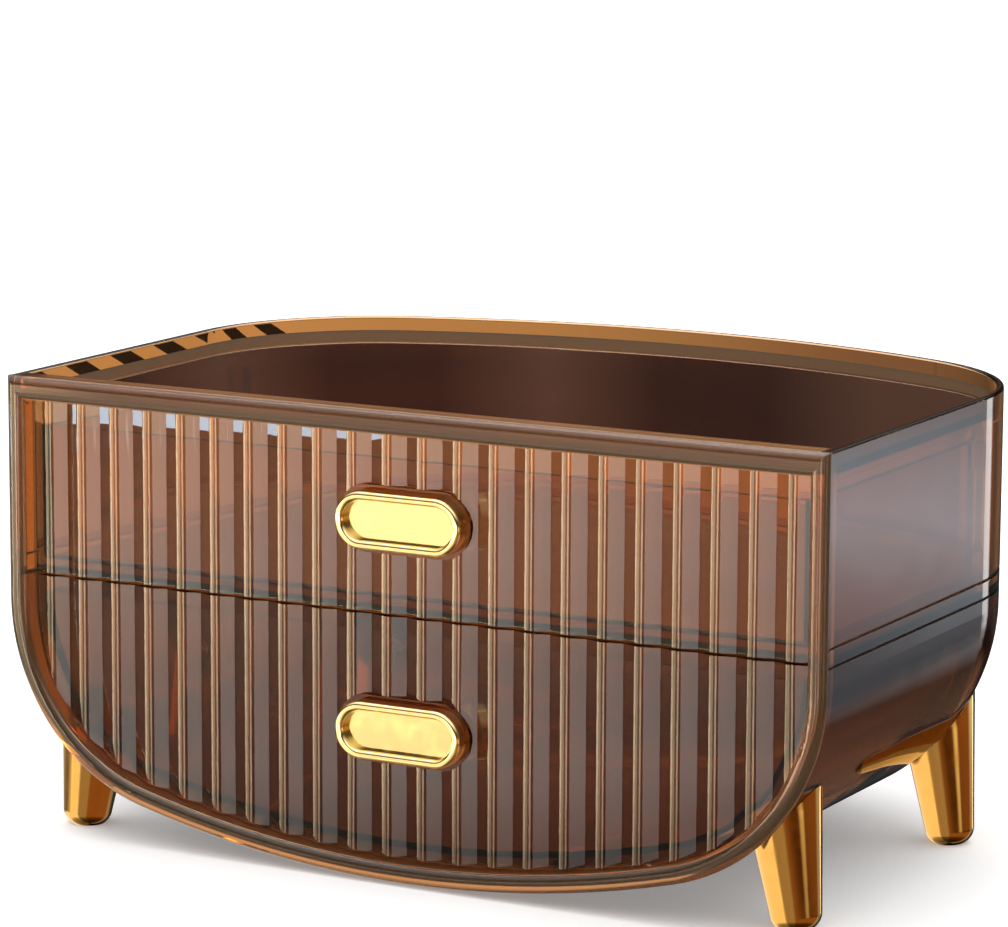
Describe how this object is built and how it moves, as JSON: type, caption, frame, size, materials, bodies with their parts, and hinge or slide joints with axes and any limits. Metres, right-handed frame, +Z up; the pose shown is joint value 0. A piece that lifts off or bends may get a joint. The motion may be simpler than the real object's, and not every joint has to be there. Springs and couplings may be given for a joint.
{
  "type": "makeup organizer with drawers",
  "caption": "Clear amber makeup organizer with a bowed back, fluted drawers, oval gold pulls, a shallow tray on top and splayed gold legs.",
  "frame": {"origin": "on the ground, under the middle of the organizer's width and depth", "axes": "+X to the right seen from the front, +Y to the bowed back, +Z up; the drawers open towards -Y"},
  "size_m": [0.3, 0.21, 0.1548],
  "materials": {
    "case": "clear amber, moulded, glossy",
    "frame": "clear amber, moulded, rounded edges",
    "tub": "clear amber, thin wall, glossy",
    "fluted_front": "clear amber, vertical flutes, glossy",
    "gold": "gold plated, polished",
    "steel": "zinc plated"
  },
  "bodies": {
    "case": {"upper_case": "case", "tray_floor": "case", "upper_front_frame": "frame", "middle_shelf": "case", "lower_case": "case", "lower_front_frame": "frame", "leg_front_left": "gold", "leg_front_right": "gold", "leg_rear_left": "gold", "leg_rear_right": "gold", "leg_screws": "steel"},
    "upper_drawer": {"upper_drawer_tub": "tub", "upper_drawer_front": "fluted_front", "upper_drawer_handle": "gold", "upper_handle_screws": "steel"},
    "lower_drawer": {"lower_drawer_tub": "tub", "lower_drawer_front": "fluted_front", "lower_drawer_handle": "gold", "lower_handle_screws": "steel"}
  },
  "joints": [
    {"name": "upper_drawer_slide", "type": "slide", "parent": "case", "child": "upper_drawer", "axis": [0, -1, 0], "range_m": [0, 0.12]},
    {"name": "lower_drawer_slide", "type": "slide", "parent": "case", "child": "lower_drawer", "axis": [0, -1, 0], "range_m": [0, 0.12]}
  ]
}
